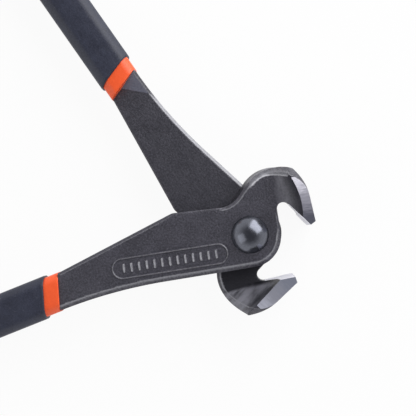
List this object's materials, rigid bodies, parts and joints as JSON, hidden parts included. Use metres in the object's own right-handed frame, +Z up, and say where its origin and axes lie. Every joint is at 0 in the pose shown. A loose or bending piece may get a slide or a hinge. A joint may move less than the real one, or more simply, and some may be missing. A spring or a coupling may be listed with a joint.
{
  "type": "end cutting nippers",
  "caption": "End cutting nippers: lapped and riveted forged levers, wide ground jaws that meet edge to edge across the nose, and sleeved handles that bow outward and curve back in.",
  "frame": {"origin": "middle of the outline of the tool as it lies open, on the surface that the sides of its jaws rest on", "axes": "+X along the tool's centre line towards the jaws, +Y towards the handle of the turned-over lever, +Z up along the pivot"},
  "size_m": [0.1716, 0.2, 0.024],
  "materials": {
    "forged_steel": "blackened forging skin, with ground bright jaw sides and bevels",
    "rivet_steel": "blackened, polished dome",
    "orange_sleeve": "soft dipped plastic, satin",
    "black_sleeve": "soft dipped plastic, satin"
  },
  "bodies": {
    "front_half": {"front_lever": "forged_steel", "pivot_rivet": "rivet_steel", "front_grip_liner": "orange_sleeve", "front_grip_cover": "black_sleeve"},
    "rear_half": {"rear_lever": "forged_steel", "rear_grip_liner": "orange_sleeve", "rear_grip_cover": "black_sleeve"}
  },
  "joints": [
    {"name": "jaw_pivot", "type": "hinge", "parent": "front_half", "child": "rear_half", "pos_m": [0.0667, 0, 0.012], "axis": [0, 0, 1], "range_deg": [-18, 52]}
  ]
}
